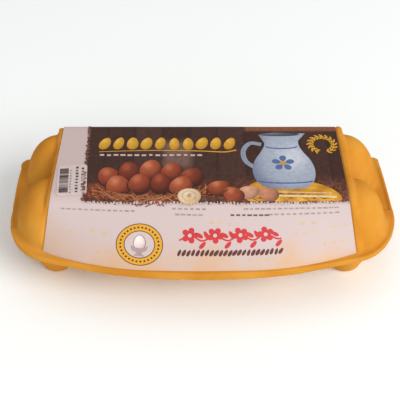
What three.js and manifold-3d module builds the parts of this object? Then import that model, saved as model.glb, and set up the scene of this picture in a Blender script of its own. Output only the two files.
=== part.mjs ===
// A shut ten-cell foam egg carton: two rows of five cups under a lid with a flat-topped middle, two rounded
// egg domes at each end, a lipped rim all round and a paper label wrapped over the top and down the front.
// Millimetres, +Z up, +X along the length, -Y is the opening side, the cups stand on Z = 0.
import * as THREE from "three";
import { mergeVertices } from "three/addons/utils/BufferGeometryUtils.js";
import Module from "manifold-3d";

// ---- driving dimensions -------------------------------------------------------------------------------
const length = 245.6; // rim, end to end
const depth = 112.3; // rim, hinge to the middle of the bowed front
const rimZ = 30.6; // parting line between tray and lid
const plateauZ = 65.5; // foam under the label
const pitchX = 46.7; // cell to cell along a row
const rowY = [-15.5, 29.3]; // the two rows of cells
const columns = [-2, -1, 0, 1, 2];

const backY = depth / 2;
const sideX = length / 2;
const sideTaper = 1.4; // the ends draw in this much towards the hinge
const rimBackY = 52.4; // back edge of the rim's corners; the rolled hinge between them stands out further
const drawnIn = { left: [2.4, -7, 20], right: [0.8, -12, 14] }; // ends: how much, around which Y, how wide
const cornerR = 38; // front corners of the rim
const cornerCX = 84.8;
const cornerCY = -4.9;
const backCornerR = 6;
const trayFrontR = 450; // plan radius of the tray's front edge
const skirtRise = 8.75 / (78 * 78); // how fast the lid's bowed front falls away from the middle
const bandMeetX = 96.5; // where the bow runs into the band round the corner
const bandOut = 1.65; // how far that band stands out over the tray's rim
const bandTurn = [76, 34].map((a) => (a * Math.PI) / 180); // it grows to this over this part of the corner
const notchY = [-17, -0.4]; // where the band steps down to the sunken ends, left and right
const skirtLow = [29.2, 30.9]; // lower edge of the front skirt, at the middle and where it ends
const skirtEnds = [62, 96]; // it climbs between these
const lipW = 1.7; // raised outer lip of the lid's rim
const lidRimZ = [30.9, 33.2, 34.5]; // underside, floor and lip of the lid's rim
const trayRimZ = [28.9, 30.3];
const trayIn = 1; // the tray's flange draws in this much under the lid
const seamDeep = 2.2;

const domeHalfX = 22; // end domes, foot to crown
// centre, half width and lean of each along Y, and how much larger it is the other ways
const domeRows = [[-10.8, 25.7, -0.4, 0], [31.2, 21.7, 1.9, 0.6]];
const domeBaseZ = 33.2;
const domeH = 30.6;
const lidFootZ = 32.4; // the lid's middle reaches down into the rim's plate

const cupFootR = 9.3; // before its edge is rounded
const cupFlare = 0.44;
const cupEdgeR = 3;

const foldY = -23.3; // front fold of the plateau
const plateauBackY = 45.3;
const lidBackY = 51.4; // foot of the lid's back wall
const foldR = 8;
const backEdgeR = 3.2;
const footR = 7;
const lidHalfTop = 91.6; // half length of the plateau on top
const labelHalfTop = 88.25;
const labelShift = -1.05; // the label sits a little towards one end
const draft = 0.2; // widening per millimetre down, of plateau and label alike
const ribH = 1.2; // raised border along each end of the plateau
const ribGap = 0.6;
const labelGap = 0.3;
const labelT = 0.4;
const labelBackZ = 55; // where the label ends behind
const labelFootZ = [34.45, 35.15]; // and in front, towards the ends and at the middle
const bays = 24; // slices along the lid's middle and the label

// ---- solids -------------------------------------------------------------------------------------------
const wasm = await Module();
wasm.setup();

function solid(geometry) {
  const g = geometry.clone();
  g.deleteAttribute("normal");
  g.deleteAttribute("uv");
  const m = mergeVertices(g, 1e-4);
  return new wasm.Manifold(new wasm.Mesh({
    numProp: 3,
    vertProperties: new Float32Array(m.attributes.position.array),
    triVerts: new Uint32Array(m.index.array),
  }));
}

function join(list) {
  return list.reduce((a, b) => a.add(b));
}

function meshOf(body, name, color, roughness) {
  const m = body.getMesh();
  const g = new THREE.BufferGeometry();
  const flat = new Float32Array(m.numVert * 3);
  for (let i = 0; i < m.numVert; i++)
    for (let k = 0; k < 3; k++) flat[i * 3 + k] = m.vertProperties[i * m.numProp + k];
  g.setAttribute("position", new THREE.BufferAttribute(flat, 3));
  g.setIndex(new THREE.BufferAttribute(new Uint32Array(m.triVerts), 1));
  g.computeVertexNormals();
  const mesh = new THREE.Mesh(g, new THREE.MeshStandardMaterial({ color, roughness }));
  mesh.name = name;
  return mesh;
}

// A closed body through rings that all hold the same number of points; the end rings are capped.
function loft(rings) {
  const n = rings[0].length;
  const position = rings.flat();
  const index = [];
  for (let r = 0; r + 1 < rings.length; r++)
    for (let i = 0; i < n; i++) {
      const a = r * n + i, b = r * n + ((i + 1) % n);
      index.push(a, b, b + n, a, b + n, a + n);
    }
  for (const [ring, base, flip] of [[rings[0], 0, true], [rings.at(-1), (rings.length - 1) * n, false]]) {
    const [u, v] = flatAxes(ring);
    const outline = ring.map((p) => new THREE.Vector2(dot(p, u), dot(p, v)));
    let cap = THREE.ShapeUtils.triangulateShape(outline, []);
    const area = ([a, b, c]) => THREE.ShapeUtils.area([outline[a], outline[b], outline[c]]);
    if (cap.length === n - 2 && cap.every((t) => Math.abs(area(t)) > 1e-5)) {
      const whole = THREE.ShapeUtils.area(outline) > 0;
      cap = cap.map((t) => (area(t) > 0 === whole ? t : [t[0], t[2], t[1]]));
    } else {
      // points in line would be skipped: fan out from the middle instead
      position.push([0, 1, 2].map((k) => ring.reduce((t, p) => t + p[k], 0) / n));
      const hub = position.length - 1 - base;
      cap = ring.map((_, i) => [i, (i + 1) % n, hub]);
    }
    for (const [a, b, c] of cap)
      if (flip) index.push(base + a, base + c, base + b);
      else index.push(base + a, base + b, base + c);
  }
  return facingOut(position, index);
}

// The solid of an indexed surface, turned so that its faces point outwards.
function facingOut(position, index) {
  const g = new THREE.BufferGeometry();
  g.setAttribute("position", new THREE.BufferAttribute(new Float32Array(position.flat()), 3));
  g.setIndex(index);
  const s = solid(g);
  if (s.volume() > 0) return s;
  for (let i = 0; i < index.length; i += 3) [index[i + 1], index[i + 2]] = [index[i + 2], index[i + 1]];
  g.setIndex(index);
  return solid(g);
}

function dot(p, q) {
  return p[0] * q[0] + p[1] * q[1] + p[2] * q[2];
}

// Two axes that span a flat ring.
function flatAxes(ring) {
  const normal = new THREE.Vector3();
  ring.forEach((p, i) => {
    const q = ring[(i + 1) % ring.length];
    normal.add(new THREE.Vector3(...p).cross(new THREE.Vector3(...q)));
  });
  normal.normalize();
  const u = Math.abs(normal.x) < 0.9 ? new THREE.Vector3(1, 0, 0) : new THREE.Vector3(0, 1, 0);
  u.addScaledVector(normal, -u.dot(normal)).normalize();
  const v = normal.clone().cross(u);
  return [u.toArray(), v.toArray()];
}

// A plan outline raised between heights; each level is [z, outline].
function raise(levels) {
  return loft(levels.map(([z, outline]) => outline.map(([x, y]) => [x, y, z])));
}

function block(a, b) {
  const corners = (z) => [[a[0], a[1], z], [b[0], a[1], z], [b[0], b[1], z], [a[0], b[1], z]];
  return loft([corners(a[2]), corners(b[2])]);
}

// ---- rim ----------------------------------------------------------------------------------------------
// Plan of the tray's rim, or of the lid's band over it, drawn in by inset: bowed front, large front corners,
// ends that taper, small back corners.
function rimPlan(inset, band = false) {
  const centreY = cornerCY + Math.sqrt((trayFrontR - cornerR) ** 2 - cornerCX ** 2);
  const half = [];
  let turned = Math.asin(cornerCX / (trayFrontR - cornerR));
  if (band) {
    for (let i = 0; i < 12; i++) half.push([(bandMeetX * i) / 12, skirtY((bandMeetX * i) / 12) + inset]);
    turned = Math.atan2(bandMeetX - cornerCX, cornerCY - skirtY(bandMeetX));
  } else
    for (let i = 0; i < 9; i++) {
      const a = (turned * i) / 9;
      half.push([(trayFrontR - inset) * Math.sin(a), centreY - (trayFrontR - inset) * Math.cos(a)]);
    }
  for (let i = 0; i <= 12; i++) {
    const a = turned + ((Math.PI / 2 - turned) * i) / 12;
    const r = cornerR - inset + (band ? bandOut * smooth(...bandTurn, a) : 0);
    half.push([cornerCX + r * Math.sin(a), cornerCY - r * Math.cos(a)]);
  }
  const rb = Math.max(backCornerR - inset, 1);
  const bx = sideX - sideTaper - inset - rb, by = rimBackY - inset - rb;
  for (const t of [0.33, 0.67])
    half.push([cornerCX + cornerR - inset - sideTaper * t, cornerCY + (by - cornerCY) * t]);
  for (let i = 0; i <= 4; i++) {
    const a = (Math.PI / 2) * (i / 4);
    half.push([bx + rb * Math.cos(a), by + rb * Math.sin(a)]);
  }
  const drawn = (y, [much, at, wide]) => much * Math.exp(-(((y - at) / wide) ** 2));
  const side = (x, y, ends) => (x > 100 ? x - drawn(y, ends) : x);
  return [...half.map(([x, y]) => [side(x, y, drawnIn.right), y]),
    ...half.slice(1).reverse().map(([x, y]) => [-side(x, y, drawnIn.left), y])];
}

function smooth(from, to, x) {
  const t = Math.min(Math.max((x - from) / (to - from), 0), 1);
  return t * t * (3 - 2 * t);
}

// Front edge of the lid.
function skirtY(x) {
  return -backY + skirtRise * x * x;
}

// The skirt that hangs from the lid's front edge over the seam, in slices along X.
function skirt() {
  const [, end] = skirtEnds;
  const slices = [];
  for (let i = 0; i <= 20; i++) {
    const x = -end + 1.5 + ((2 * end - 3) * i) / 20, y = skirtY(x) + 0.1;
    const low = skirtLow[0] + (skirtLow[1] - skirtLow[0]) * smooth(...skirtEnds, Math.abs(x));
    const top = lidRimZ[0] + 0.9;
    slices.push([[y + 0.7, low], [y + 2.2, low], [y + 2.2, top], [y, top], [y, low + 0.6]]
      .map(([py, pz]) => [x, py, pz]));
  }
  return loft(slices);
}

function rim() {
  const [under, floor, lip] = lidRimZ;
  const lid = (inset) => rimPlan(inset, true);
  const plate = raise([[under, lid(0.5)], [under + 0.5, lid(0)], [floor, lid(0)]]);
  // Lip and front band stand above the floor; the ends are sunk between them.
  const sunk = raise([[floor, lid(lipW + 0.5)], [lip + 1, lid(lipW - 0.6)]])
    .intersect(join([block([-130, notchY[0], floor - 1], [0, 60, lip + 1]),
      block([0, notchY[1], floor - 1], [130, 60, lip + 1])]));
  const lipAndBand = raise([[floor - 0.5, lid(0)], [lip - 0.6, lid(0)], [lip, lid(0.6)]])
    .subtract(sunk).subtract(block([-130, 41, floor], [130, 60, lip + 1]));
  const trayPlate = raise([[trayRimZ[0], rimPlan(trayIn + 0.8)], [trayRimZ[0] + 0.6, rimPlan(trayIn)],
    [trayRimZ[1], rimPlan(trayIn)]]);
  const core = raise([[trayRimZ[0] + 0.4, rimPlan(seamDeep + 1)], [under + 1, rimPlan(seamDeep)]]);
  const parts = [plate, lipAndBand, trayPlate, core, skirt()];
  // Rolled hinge along the back; one corner has a small rounded tab.
  const rolled = [];
  for (let i = 0; i <= 10; i++) {
    const a = -Math.PI / 2 + (Math.PI * i) / 10;
    rolled.push([backY - 2.1 + 2.1 * Math.cos(a), rimZ + 2.1 * Math.sin(a)]);
  }
  rolled.push([backY - 5, rimZ + 2.1], [backY - 5, rimZ - 2.1]);
  parts.push(loft([-111, 111].map((x) => rolled.map(([y, z]) => [x, y, z]))));
  const tab = squircle(-sideX + 3.9, rimBackY - 5.2, 3.9, 4.2, 2, 20);
  parts.push(raise([[under, tab], [floor + 0.4, tab]]));
  return join(parts);
}

// ---- lid ----------------------------------------------------------------------------------------------
// A path through corners in the Y-Z plane, each corner rounded to its radius; always the same point count.
function rounded(corners, radii, arcSteps, lineSteps) {
  const out = [];
  let from = corners[0];
  out.push(from);
  for (let i = 1; i < corners.length; i++) {
    const here = corners[i], next = corners[i + 1];
    let enter = here, arc = [];
    if (next) {
      const inV = unit(sub(here, corners[i - 1])), outV = unit(sub(next, here));
      const turn = Math.acos(Math.min(1, inV[0] * outV[0] + inV[1] * outV[1]));
      const cut = Math.min(radii[i] * Math.tan(turn / 2), len(sub(here, from)) * 0.95,
        len(sub(next, here)) * 0.6);
      enter = [here[0] - inV[0] * cut, here[1] - inV[1] * cut];
      const leave = [here[0] + outV[0] * cut, here[1] + outV[1] * cut];
      for (let k = 1; k <= arcSteps[i]; k++) {
        const t = k / arcSteps[i];
        // close to a circular arc for turns under a right angle
        const w = Math.cos(turn / 2), a = (1 - t) ** 2, b = 2 * t * (1 - t) * w, c = t * t;
        arc.push([0, 1].map((m) => (a * enter[m] + b * here[m] + c * leave[m]) / (a + b + c)));
      }
    }
    for (let k = 1; k <= lineSteps[i - 1]; k++)
      out.push([0, 1].map((m) => from[m] + ((enter[m] - from[m]) * k) / lineSteps[i - 1]));
    out.push(...arc);
    from = out.at(-1);
  }
  return out;
}

function sub(a, b) {
  return [a[0] - b[0], a[1] - b[1]];
}

function len(a) {
  return Math.hypot(a[0], a[1]);
}

function unit(a) {
  const l = len(a);
  return [a[0] / l, a[1] / l];
}

// Corners moved outward by d (the path runs from the back, over the top, to the front).
function grown(corners, d) {
  const lines = [];
  for (let i = 0; i + 1 < corners.length; i++) {
    const v = unit(sub(corners[i + 1], corners[i]));
    const n = [v[1], -v[0]];
    lines.push([[corners[i][0] + n[0] * d, corners[i][1] + n[1] * d], v]);
  }
  const out = [lines[0][0]];
  for (let i = 0; i + 1 < lines.length; i++) {
    const [p, u] = lines[i], [q, v] = lines[i + 1];
    const t = ((q[0] - p[0]) * v[1] - (q[1] - p[1]) * v[0]) / (u[0] * v[1] - u[1] * v[0]);
    out.push([p[0] + u[0] * t, p[1] + u[1] * t]);
  }
  const last = corners.at(-1), v = lines.at(-1)[1];
  out.push([last[0] + v[1] * d, last[1] - v[0] * d]);
  return out;
}

// Foot of the lid's front wall: it keeps close to the bowed edge and draws in at the ends.
function wallFootY(x) {
  return skirtY(x) + 1.5 + 4.6 * Math.abs(x / 94) ** 4.2;
}

// Corners of the lid's middle, at one place along the length.
function lidCorners(x) {
  const foot = wallFootY(x);
  return [[lidBackY, lidFootZ], [plateauBackY, plateauZ], [foldY, plateauZ],
    [foldY + (foot - foldY) * 0.87, 38], [foot, 34.3], [foot + 0.8, lidFootZ]];
}

function lidHalf(z) {
  return lidHalfTop + (plateauZ - z) * draft;
}

// One slice of the lid's middle: edge(z) gives X at a height, lift raises the surface.
function lidSlice(edge, lift) {
  const corners = lidCorners(edge(45));
  const shell = grown(corners, lift);
  shell[0] = corners[0];
  shell[5] = corners[5];
  const radii = [0, backEdgeR + lift, foldR + lift, Math.max(footR - lift, 1), 0.4, 0];
  const path = rounded(shell, radii, [0, 4, 6, 2, 1, 0], [1, 1, 4, 1, 1]);
  return path.map(([y, z]) => [edge(z), y, z]);
}

function lidMiddle() {
  const slices = [];
  for (let i = 0; i <= bays; i++) {
    const f = -1 + (2 * i) / bays;
    slices.push(lidSlice((z) => f * (lidHalf(z) - 0.05), 0));
  }
  const parts = [loft(slices)];
  for (const side of [-1, 1]) {
    const inner = (z) => side * (labelHalfTop + ribGap + (plateauZ - z) * draft) + labelShift;
    const outer = (z) => side * lidHalf(z);
    const at = (t) => (z) => inner(z) + (outer(z) - inner(z)) * t;
    const near = Math.min(0.3, 0.6 / Math.abs(outer(60) - inner(60)));
    parts.push(loft([lidSlice(at(0), 0.1), lidSlice(at(near), ribH), lidSlice(at(1 - near * 1.2), ribH),
      lidSlice(at(1), 0.1)]));
  }
  return join(parts);
}

// Rounded-square ring: exponent 2 is an ellipse, larger is squarer.
function squircle(cx, cy, a, b, m, n) {
  const out = [];
  for (let i = 0; i < n; i++) {
    const t = ((i + 0.5) / n) * 2 * Math.PI;
    const c = Math.cos(t), s = Math.sin(t);
    const r = (Math.abs(c) ** m + Math.abs(s) ** m) ** (-1 / m);
    out.push([cx + a * c * r, cy + b * s * r]);
  }
  return out;
}

function dome(side, [cy, halfY, lean, more]) {
  const levels = [];
  const n = 10;
  for (let i = -1; i <= n; i++) {
    const t = i < 0 ? 0 : Math.sin((i / n) * (Math.PI / 2) * 0.955);
    const k = (1 - t ** 1.4) ** (1 / 2.4);
    const z = i < 0 ? domeBaseZ - 1 : domeBaseZ + (domeH + more) * t;
    levels.push([z, squircle(side * 2 * pitchX, cy + lean * t, (domeHalfX + more) * k, halfY * k, 1.92, 32)]);
  }
  // only the outer half shows: the rest lies under the lid's flat middle
  const x = (z) => side * (lidHalf(z) - 0.8);
  const far = side * 130;
  const keep = loft([-60, 60].map((y) => [[x(20), y, 20], [far, y, 20], [far, y, 80], [x(80), y, 80]]));
  return raise(levels).intersect(keep);
}

// ---- tray ---------------------------------------------------------------------------------------------
// A cup: rounded foot, straight flaring wall, rounder below and squarer where it meets its neighbours.
function cup(cx, cy) {
  const wall = (z) => [cupFootR + cupFlare * z, z];
  const turn = Math.PI / 2 - Math.atan(cupFlare), cut = cupEdgeR * Math.tan(turn / 2);
  const edge = [0, 0.5, 1].map((t) => [cupFootR - cut + cupEdgeR * Math.sin(turn * t),
    cupEdgeR * (1 - Math.cos(turn * t))]);
  const levels = [...edge, ...[11, 19, 25, 29].map(wall)];
  return raise(levels.map(([r, z]) => [z, squircle(cx, cy, r, r, 2 + (z / 30) ** 3, 24)]));
}

function tray() {
  const parts = [];
  for (const c of columns) for (const y of rowY) parts.push(cup(c * pitchX, y));
  const x = 2 * pitchX + 9, y0 = rowY[0] - 9, y1 = rowY[1] + 9;
  const web = (inset) => [[-x + inset, y0 + inset], [x - inset, y0 + inset], [x - inset, y1 - inset],
    [-x + inset, y1 - inset]];
  parts.push(raise([[18.5, web(5)], [29, web(0)]]));
  return join(parts);
}

// ---- label --------------------------------------------------------------------------------------------
// X of the label at a height, for a place f from -1 to 1 across it.
function labelX(f) {
  return (z) => labelShift + f * (labelHalfTop + (plateauZ - z) * draft);
}

function labelLine(f, lift) {
  const edge = labelX(f);
  const c = lidCorners(edge(45));
  const back = (c[0][1] - labelBackZ) / (c[0][1] - c[1][1]);
  const footZ = labelFootZ[0] + (labelFootZ[1] - labelFootZ[0]) * smooth(45, 8, Math.abs(edge(45)));
  const front = (c[3][1] - footZ) / (c[3][1] - c[4][1]);
  const start = [c[0][0] + (c[1][0] - c[0][0]) * back, labelBackZ];
  const end = [c[3][0] + (c[4][0] - c[3][0]) * front, footZ];
  const shell = grown([start, c[1], c[2], c[3], end], lift);
  const radii = [0, backEdgeR + lift, foldR + lift, footR - lift, 0];
  const path = rounded(shell, radii, [0, 4, 6, 2, 0], [1, 1, 4, 1]);
  return path.map(([y, z]) => [edge(z), y, z]);
}

function label() {
  const slices = [];
  for (let i = 0; i <= bays; i++) {
    const f = -1 + (2 * i) / bays;
    const inner = labelLine(f, labelGap), outer = labelLine(f, labelGap + labelT);
    slices.push([...outer, ...inner.reverse()]);
  }
  return strip(slices);
}

// A bent sheet from slices that each run out along one face and back along the other.
function strip(slices) {
  const n = slices[0].length, half = n / 2;
  const index = [];
  for (let r = 0; r + 1 < slices.length; r++)
    for (let i = 0; i < n; i++) {
      const a = r * n + i, b = r * n + ((i + 1) % n);
      index.push(a, b + n, b, a, a + n, b + n);
    }
  for (const [base, flip] of [[0, false], [(slices.length - 1) * n, true]])
    for (let i = 0; i + 1 < half; i++) {
      const a = base + i, b = a + 1, c = base + n - 1 - i, d = c - 1;
      if (flip) index.push(a, d, b, a, c, d);
      else index.push(a, b, d, a, d, c);
    }
  return facingOut(slices.flat(), index);
}

// ---- price sticker ------------------------------------------------------------------------------------
// A small sheet with round corners, laid over the label's top and bent with it at the fold.
function sticker() {
  const w = 18, h = 27, r = 2, x = -78, y = -8, turn = 0.083, thick = 0.25;
  const lift = labelGap + labelT + 0.12, radius = foldR + lift;
  const bendY = foldY + radius * 0.49; // the flat top ends here
  const at = (u, v, up) => {
    const py = y + u * Math.sin(turn) + v * Math.cos(turn);
    const into = Math.max(bendY - py, 0);
    return [x + u * Math.cos(turn) - v * Math.sin(turn), py,
      plateauZ + lift + up - radius + Math.sqrt(radius ** 2 - into ** 2)];
  };
  const slices = [];
  const corner = [0, 30, 60, 90].map((a) => [w / 2 - r + r * Math.cos((a * Math.PI) / 180),
    h / 2 - r + r * Math.sin((a * Math.PI) / 180)]);
  const straight = [-0.9, -0.8, -0.7, -0.6, -0.5, 0.3].map((t) => [w / 2, (h / 2 - r) * t]);
  for (const [half, v] of [...corner.map(([a, b]) => [a, -b]).reverse(), ...straight, ...corner])
    slices.push([at(-half, v, 0), at(half, v, 0), at(half, v, thick), at(-half, v, thick)]);
  return loft(slices);
}

const carton = join([rim(), lidMiddle(), tray(),
  ...[-1, 1].flatMap((s) => domeRows.map((row) => dome(s, row)))]);

const group = new THREE.Group();
group.name = "egg_carton";
group.add(meshOf(carton, "carton", 0xe39a35, 0.5));
group.add(meshOf(label(), "label", 0xe6dcd6, 0.7));
group.add(meshOf(sticker(), "sticker", 0xf0ecea, 0.6));

export default group;
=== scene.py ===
"""A shut foam egg carton with a paper label, laid out as an add-on: an operator for each piece, a sidebar
panel that lists them, and a main function that runs them in order. Lengths in the code are millimetres, but
the sidebar and the stage keep Blender's metres."""

import math
from types import SimpleNamespace

import bpy
import numpy as np
from bpy.props import FloatProperty, FloatVectorProperty, IntProperty, PointerProperty
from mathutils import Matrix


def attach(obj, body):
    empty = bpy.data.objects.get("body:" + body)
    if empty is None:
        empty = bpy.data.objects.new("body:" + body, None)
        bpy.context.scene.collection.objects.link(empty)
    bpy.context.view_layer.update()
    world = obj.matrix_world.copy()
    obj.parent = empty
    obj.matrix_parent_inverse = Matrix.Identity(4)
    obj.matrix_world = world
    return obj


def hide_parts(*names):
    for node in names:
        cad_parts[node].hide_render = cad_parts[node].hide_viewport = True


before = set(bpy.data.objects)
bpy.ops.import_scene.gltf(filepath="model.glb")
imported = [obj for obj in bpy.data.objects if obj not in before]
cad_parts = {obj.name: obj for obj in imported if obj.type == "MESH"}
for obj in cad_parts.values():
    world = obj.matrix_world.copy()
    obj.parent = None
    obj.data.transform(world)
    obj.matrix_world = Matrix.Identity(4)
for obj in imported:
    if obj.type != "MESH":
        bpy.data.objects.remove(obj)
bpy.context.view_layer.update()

bl_info = {
    "name": "Foam egg carton",
    "version": (1, 0, 0),
    "blender": (4, 5, 0),
    "location": "3D View > Sidebar > Egg Carton",
    "description": "Dresses the solids of a shut foam egg carton: lid, tray, label, print and sticker",
    "category": "Object",
}

BODY = "root"

# Sizes in millimetres, angles in degrees. X runs along the carton, Y to its back, Z up.
ROW_Y = (-14.0, 29.3)  # the two rows of cups
HINGE_Y = 56.15
ROLL_R, ROLL_Z, ROLL_HALF = 2.1, 30.6, 108.3  # the rolled hinge: radius, height and half length
RIM_BACK_Y = 52.4
BACK_CORNER_R = 3.6
BACK_NARROW = 1.4  # the rim's ends come in by this much on their way to the back corners
CORNER = (84.8, -4.9, 38.0)  # centre and radius of the rim's front corners
END_IN = ((2.4, -7, 20), (0.8, -12, 14))  # how the ends draw in, left and right: how much, where, how wide
LEFT_BACK_IN, LEFT_BACK_Y = 2.2, (36, 50)  # the left end's back part draws in from behind, over this stretch
TAB_IN, TAB_BACK, TAB_R = 3.9, 8.1, 3.6  # the left tab: from the rim's end and back edge, and its radius
TRAY_FRONT_R = 450.0
TRAY_IN = 2.2  # the tray's flange draws in this much under the lid
TRAY_LOW_Z = 28.9  # underside of the flange
SKIRT_RISE = 8.75 / 78**2
SKIRT_LOW = (29.2, 30.9)  # lower edge of the front skirt, at the middle and where it ends
SKIRT_CLIMB = (48, 92)  # it climbs between these
SKIRT_THICK, SKIRT_HALF = 2.3, 94
FOOT_IN, FOOT_END_IN, FOOT_POWER = 1.5, 4.6, 4.2  # front wall's foot: behind the edge, and more at the ends
BAND_MEET_X = 96.5  # where the front's bow runs into the band round the corner
BAND_OUT = 1.65  # how far the lid's front band stands out round the corners, over the tray's rim
BAND_TURN = (60, 18)  # it is full up to 18 degrees round the corner from the front, and gone at 60
NOTCH_Y = (-17.0, -0.4)  # where the band steps down to the sunken ends, left and right
SEAM = (30.3, 30.9)  # top of the tray's flange, underside of the lid's
FLOOR_Z = 33.2
LIP_FROM_Z = 31.6  # the lip's foot, inside the floor
LIP_Z = 34.5  # top of the front band
LIP_LOW = 0.5  # the lip along the ends stays this much lower
PLATEAU_Z = 65.5
# each row of end domes: centre, half width and lean along Y, and how much larger it is than the first
DOME_ROWS = ((-10.8, 25.7, -0.4, 0.0), (31.2, 21.7, 1.9, 0.6))
CUP_FLARE, CUP_COS = 0.44, 0.91  # how much the cups' radius grows with height, and that slope's cosine
END_CUP_LESS = (0.04, 0.1)  # the end cups flare this much less on their outer side, left and right
CUP_EDGE_R = 3.0
DIMPLE_DEEP, DIMPLE_R = 0.7, 4.6
CUPS_TOP_Z = 29.0
WEB_Z = (19.5, 28.0)  # the web that ties the cups together
WEB_END, WEB_HALF_Y, WEB_R = 6, 26, 6  # how far it passes the last cups' middles, its half width and corners
FOLD_Y = -23.3
PLATEAU_BACK_Y = 45.3
BACK_LEAN = 6.1 / 33.1
FOLD_R, BACK_EDGE_R = 8.0, 3.2
WALL_FOOT_Z = 34.3
WALL_PLAN_Z = 45.0  # height at which the front wall's plan is taken
LID_HALF, LABEL_HALF, LABEL_SHIFT = 91.6, 88.25, -1.05
DRAFT, DRAFT_COS = 0.2, 0.98  # how the lid's ends slope, and that slope's cosine
BORDER_HIGH = 1.0  # the raised border at the right end of the lid's top
LEFT_SWELL = 0.9  # the left shoulder is fuller at the back
TOP_LEN = PLATEAU_BACK_Y - FOLD_Y
WRAP = 1.407  # label millimetres for each millimetre that the front wall drops
LABEL_FOOT_Z = (34.3, 35.0)  # where the label ends in front, towards the ends and at the middle
PAPER_IN, PAPER_OUT = 0.3, 0.62
INK, INK_THICK = 0.05, 0.03  # how far one printed layer stands over the next, and how thick it is
STICKER_AT = (-78.0, -8.0, 66.34)
STICKER_SIZE = (17.9, 26.9)
STICKER_TURN = 0.083  # radians
STICKER_BEND_R, STICKER_BEND_IN = 8.82, 4.4  # it bends over the fold at this radius, from this far behind it
STICKER_CORNER_R, STICKER_THICK = 2.0, 0.12

# What the foam's meshes span: as far as END_X and SIDE_Y, finely from FINE_X outwards.
END_X, SIDE_Y, FINE_X, COARSE_STEP = 124.2, 57.4, 84.0, 2.4
LABEL_FRONT_V = 75  # label millimetres where its flat front begins

# The stage, in metres and watts: name, place, size, power and tone of each light.
LIGHTS = (("key", (2.34, -1.82, 2.09), 2.0, 106, (1, 1, 0.98)),
          ("top", (-0.2, 0.3, 3.0), 3.0, 17, (1, 1, 1)),
          ("fill", (-0.1, -1.45, 0.5), 1.2, 5, (1, 1, 1)))
AMBIENT, AMBIENT_TONE = 0.44, (1, 0.95, 0.93, 1)
FLOOR_HALF = 4
CAMERA_AT = (-0.0008, -0.3631, 0.38288)
CAMERA_DOWN = 43.19  # degrees under the horizon
FOCAL_PX, IMAGE_PX = 788.43, 400


def smooth(a, b, x):
    t = np.clip((x - a) / (b - a), 0, 1)
    return t * t * (3 - 2 * t)


def linear(colour):
    """Linear light of a colour given as 0 to 255 screen values."""
    c = np.clip(np.asarray(colour, float) / 255, 0, 1)
    return np.where(c <= 0.04045, c / 12.92, ((c + 0.055) / 1.055) ** 2.4)


def swatch(*colour):
    return tuple(float(c) for c in linear(colour))


# ---- sidebar sizes and colours ------------------------------------------------------------------------
def length(name, text, value, low=0.0005, high=0.5):
    return FloatProperty(name=name, description=text, default=value, min=low, max=high, unit="LENGTH",
                         subtype="DISTANCE", precision=4)


def paint(name, text, *colour):
    return FloatVectorProperty(name=name, description=text, default=swatch(*colour), min=0, max=1, size=3,
                               subtype="COLOR")


class CartonSizes(bpy.types.PropertyGroup):
    rim_half: length("Half length", "Half the length of the rim, end to end", 0.1228)
    plateau: length("Plateau height", "Height of the foam under the label", PLATEAU_Z / 1000)
    pitch: length("Cell pitch", "Spacing of the cells along a row", 0.0467)
    dome_half: length("Dome half length", "Half length of an end dome along the carton", 0.022)
    dome_height: length("Dome height", "Height of the end domes over the rim's floor", 0.0306)
    lip: length("Lip width", "Width of the raised lip round the lid's rim", 0.0017)
    cup_foot: length("Cup foot radius", "Radius at the foot of each cup before its edge is rounded", 0.0093)
    grain: length("Mesh step", "Spacing of the mesh over the foam", 0.00085, 0.0005, 0.004)
    wave: length("Foam waviness", "How far the moulded foam wanders from its true shape", 0.00006, 0, 0.001)


class CartonColours(bpy.types.PropertyGroup):
    foam: paint("Foam", "The dyed foam where it is brightest", 208, 147, 57)
    foam_deep: paint("Foam, deep", "The dyed foam where its skin is denser", 196, 130, 42)
    paper: paint("Paper", "The label's bare paper", 194, 176, 174)
    peach: paint("Peach", "The tint along the label's lower edge", 203, 162, 122)
    panel: paint("Panel", "The dark panel on top of the label", 66, 38, 30)
    gold: paint("Gold", "Golden print", 214, 158, 44)
    red: paint("Red", "Coral red print", 196, 52, 56)
    brown: paint("Brown", "Dark brown print", 92, 46, 38)
    grey: paint("Grey", "Small grey print", 158, 143, 141)


class CartonPrint(bpy.types.PropertyGroup):
    seed: IntProperty(name="Seed", description="Start of everything random in the print", default=7, min=0)
    straws: IntProperty(name="Straws", description="Straws drawn round the nest", default=230, min=0)
    bars: IntProperty(name="Bars", description="Bars printed on the sticker", default=24, min=2)


def sizes():
    """The sidebar's lengths in millimetres."""
    s = bpy.context.scene.carton_sizes
    return SimpleNamespace(**{k: getattr(s, k) * 1000 for k in CartonSizes.__annotations__})


def colour_of(name):
    """A sidebar colour as 0 to 255 screen values."""
    c = np.array(getattr(bpy.context.scene.carton_colours, name))
    return np.where(c <= 0.0031308, c * 12.92, 1.055 * c ** (1 / 2.4) - 0.055) * 255


# ---- meshes -------------------------------------------------------------------------------------------
def new_object(name, verts, faces):
    """An object in the scene, made of millimetre points."""
    me = bpy.data.meshes.new(name)
    me.from_pydata((np.asarray(verts) * 0.001).tolist(), [], [list(map(int, f)) for f in faces])
    ob = bpy.data.objects.new(name, me)
    bpy.context.scene.collection.objects.link(ob)
    return ob


def mount(ob, material):
    """Give a piece its material and let it ride on the carton's body."""
    ob.data.materials.append(material)
    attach(ob, BODY)
    return ob


def add_piece(name, verts, faces, material, smooth_faces=True):
    ob = mount(new_object(name, verts, faces), material)
    ob.data.validate()
    ob.data.polygons.foreach_set("use_smooth", [smooth_faces] * len(ob.data.polygons))
    return ob


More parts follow.
